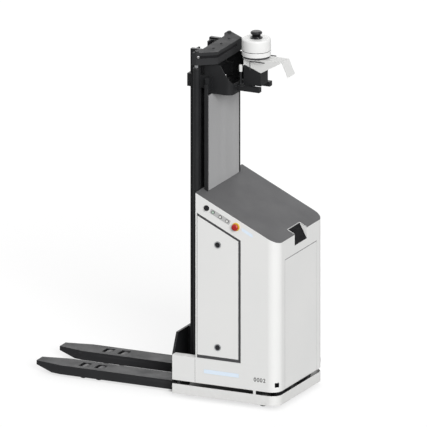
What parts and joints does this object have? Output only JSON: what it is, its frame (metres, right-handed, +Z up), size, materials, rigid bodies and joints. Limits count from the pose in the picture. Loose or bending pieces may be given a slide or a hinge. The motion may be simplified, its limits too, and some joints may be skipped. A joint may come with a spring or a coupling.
{
  "type": "autonomous pallet stacker robot",
  "caption": "Driverless pallet stacker with forks over support legs, a telescopic mast, an upright casing with a sloping lid and a raised lidar on an arm.",
  "frame": {"origin": "on the floor, below the middle of the robot's overall length and width", "axes": "+X towards the casing's front, forks along -X, +Y to the robot's left, +Z up"},
  "size_m": [1.952, 0.83, 2.658],
  "materials": {
    "white_paint": "smooth satin powder coat",
    "black_paint": "satin powder coat",
    "lid_grey": "fine matt powder coat",
    "seal_rubber": "matt rubber",
    "bright_steel": "oiled machined steel",
    "rod_chrome": "ground and plated",
    "guide_plastic": "cast nylon",
    "black_plastic": "satin moulded plastic",
    "green_plastic": "gloss moulded plastic",
    "white_plastic": "gloss moulded plastic",
    "yellow_plastic": "gloss moulded plastic",
    "red_plastic": "gloss moulded plastic",
    "light_window": "diffusing light guide",
    "smoked_sheet": "smoked clear sheet",
    "battery_case": "moulded case",
    "grey_metal": "plain machine enamel",
    "wheel_tread": "moulded polyurethane tread"
  },
  "bodies": {
    "chassis": {"base_frame": "black_paint", "support_legs": "black_paint", "roller_axles": "bright_steel", "skirt": "white_paint", "battery_pack": "battery_case", "controller_box": "grey_metal", "hydraulic_unit": "grey_metal", "safety_scanners": "black_plastic", "lower_body": "white_paint", "upper_casing": "white_paint", "lid": "lid_grey", "notch_window": "black_plastic", "front_panel": "white_paint", "panel_seals": "seal_rubber", "light_windows": "light_window", "stop_collars": "yellow_plastic", "outer_mast": "black_paint", "lift_cylinders": "black_paint", "guard_frame": "black_paint", "guard_screen": "smoked_sheet", "lidar_bracket": "black_paint", "sensor_shelf": "black_paint", "sensor_arm": "white_paint", "drum_cover": "white_paint", "lidar_body": "black_plastic"},
    "inner_mast": {"inner_mast": "black_paint", "mast_guides": "guide_plastic", "yoke": "black_paint", "lift_rods": "rod_chrome", "lift_chains": "bright_steel", "anchor_chains": "bright_steel"},
    "carriage": {"carriage_plate": "black_paint", "carriage_guides": "guide_plastic", "fork_left": "black_paint", "fork_right": "black_paint"},
    "chain_wheels": {"chain_wheels": "bright_steel"},
    "drive_unit": {"drive_fork": "black_paint", "drive_motor": "grey_metal"},
    "drive_wheel": {"drive_wheel": "wheel_tread"},
    "lidar_rotor": {"lidar_rotor": "black_plastic"},
    "key_switch": {"key_switch": "black_plastic"},
    "start_button": {"start_button": "green_plastic"},
    "reset_button": {"reset_button": "white_plastic"},
    "lamp_button": {"lamp_button": "white_plastic"},
    "caster_fork_left": {"caster_fork_left": "black_paint"},
    "caster_wheel_left": {"caster_wheel_left": "wheel_tread"},
    "load_roller_front_left": {"load_roller_front_left": "wheel_tread"},
    "load_roller_rear_left": {"load_roller_rear_left": "wheel_tread"},
    "stop_button_left": {"stop_button_left": "red_plastic"},
    "side_panel_left": {"side_panel_left": "white_paint"},
    "panel_lock_lower_left": {"panel_lock_lower_left": "black_plastic"},
    "panel_lock_upper_left": {"panel_lock_upper_left": "black_plastic"},
    "caster_fork_right": {"caster_fork_right": "black_paint"},
    "caster_wheel_right": {"caster_wheel_right": "wheel_tread"},
    "load_roller_front_right": {"load_roller_front_right": "wheel_tread"},
    "load_roller_rear_right": {"load_roller_rear_right": "wheel_tread"},
    "stop_button_right": {"stop_button_right": "red_plastic"},
    "side_panel_right": {"side_panel_right": "white_paint"},
    "panel_lock_lower_right": {"panel_lock_lower_right": "black_plastic"},
    "panel_lock_upper_right": {"panel_lock_upper_right": "black_plastic"}
  },
  "joints": [
    {"name": "mast_lift", "type": "slide", "parent": "chassis", "child": "inner_mast", "axis": [0, 0, 1], "range_m": [0, 1.6], "deforming": ["anchor_chains"]},
    {"name": "carriage_lift", "type": "slide", "parent": "inner_mast", "child": "carriage", "axis": [0, 0, 1], "range_m": [0, 1.6], "deforming": ["lift_chains"]},
    {"name": "chain_wheel_turn", "type": "hinge", "parent": "inner_mast", "child": "chain_wheels", "pos_m": [0.267, 0, 2.39], "axis": [0, 1, 0], "range_deg": [-1, 2858]},
    {"name": "drive_steer", "type": "hinge", "parent": "chassis", "child": "drive_unit", "pos_m": [0.8, 0, 0.26], "axis": [0, 0, 1], "range_deg": [-90, 90]},
    {"name": "drive_spin", "type": "hinge", "parent": "drive_unit", "child": "drive_wheel", "pos_m": [0.8, 0, 0.115], "axis": [0, 1, 0], "continuous": true},
    {"name": "caster_swivel_left", "type": "hinge", "parent": "chassis", "child": "caster_fork_left", "pos_m": [0.8, 0.298, 0.1], "axis": [0, 0, 1], "continuous": true},
    {"name": "caster_spin_left", "type": "hinge", "parent": "caster_fork_left", "child": "caster_wheel_left", "pos_m": [0.828, 0.298, 0.045], "axis": [0, 1, 0], "continuous": true},
    {"name": "load_spin_front_left", "type": "hinge", "parent": "chassis", "child": "load_roller_front_left", "pos_m": [-0.616, 0.192, 0.042], "axis": [0, 1, 0], "continuous": true},
    {"name": "load_spin_rear_left", "type": "hinge", "parent": "chassis", "child": "load_roller_rear_left", "pos_m": [-0.495, 0.192, 0.042], "axis": [0, 1, 0], "continuous": true},
    {"name": "stop_press_left", "type": "slide", "parent": "chassis", "child": "stop_button_left", "axis": [0, -1, 0], "range_m": [0, 0.005]},
    {"name": "panel_off_left", "type": "slide", "parent": "chassis", "child": "side_panel_left", "axis": [0, 1, 0], "range_m": [0, 0.3]},
    {"name": "lock_turn_lower_left", "type": "hinge", "parent": "side_panel_left", "child": "panel_lock_lower_left", "pos_m": [0.508, 0.384, 0.411], "axis": [0, 1, 0], "range_deg": [0, 90]},
    {"name": "lock_turn_upper_left", "type": "hinge", "parent": "side_panel_left", "child": "panel_lock_upper_left", "pos_m": [0.508, 0.384, 1.168], "axis": [0, 1, 0], "range_deg": [0, 90]},
    {"name": "caster_swivel_right", "type": "hinge", "parent": "chassis", "child": "caster_fork_right", "pos_m": [0.8, -0.298, 0.1], "axis": [0, 0, 1], "continuous": true},
    {"name": "caster_spin_right", "type": "hinge", "parent": "caster_fork_right", "child": "caster_wheel_right", "pos_m": [0.828, -0.298, 0.045], "axis": [0, 1, 0], "continuous": true},
    {"name": "load_spin_front_right", "type": "hinge", "parent": "chassis", "child": "load_roller_front_right", "pos_m": [-0.616, -0.192, 0.042], "axis": [0, 1, 0], "continuous": true},
    {"name": "load_spin_rear_right", "type": "hinge", "parent": "chassis", "child": "load_roller_rear_right", "pos_m": [-0.495, -0.192, 0.042], "axis": [0, 1, 0], "continuous": true},
    {"name": "stop_press_right", "type": "slide", "parent": "chassis", "child": "stop_button_right", "axis": [0, 1, 0], "range_m": [0, 0.005]},
    {"name": "panel_off_right", "type": "slide", "parent": "chassis", "child": "side_panel_right", "axis": [0, -1, 0], "range_m": [0, 0.3]},
    {"name": "lock_turn_lower_right", "type": "hinge", "parent": "side_panel_right", "child": "panel_lock_lower_right", "pos_m": [0.508, -0.384, 0.411], "axis": [0, 1, 0], "range_deg": [0, 90]},
    {"name": "lock_turn_upper_right", "type": "hinge", "parent": "side_panel_right", "child": "panel_lock_upper_right", "pos_m": [0.508, -0.384, 1.168], "axis": [0, 1, 0], "range_deg": [0, 90]},
    {"name": "key_turn", "type": "hinge", "parent": "chassis", "child": "key_switch", "pos_m": [0.421, -0.385, 1.42916], "axis": [0, 1, 0], "range_deg": [0, 90]},
    {"name": "start_press", "type": "slide", "parent": "chassis", "child": "start_button", "axis": [0, 1, 0], "range_m": [0, 0.004], "stiffness_N_per_m": 400},
    {"name": "reset_press", "type": "slide", "parent": "chassis", "child": "reset_button", "axis": [0, 1, 0], "range_m": [0, 0.004], "stiffness_N_per_m": 400},
    {"name": "lamp_press", "type": "slide", "parent": "chassis", "child": "lamp_button", "axis": [0, 1, 0], "range_m": [0, 0.004], "stiffness_N_per_m": 400},
    {"name": "lidar_turn", "type": "hinge", "parent": "chassis", "child": "lidar_rotor", "pos_m": [0.629, 0, 2.62], "axis": [0, 0, 1], "continuous": true}
  ],
  "couplings": [
    {"joint": "carriage_lift", "follows": "mast_lift", "ratio": 1},
    {"joint": "chain_wheel_turn", "follows": "mast_lift", "rad_per_m": 30.96}
  ]
}
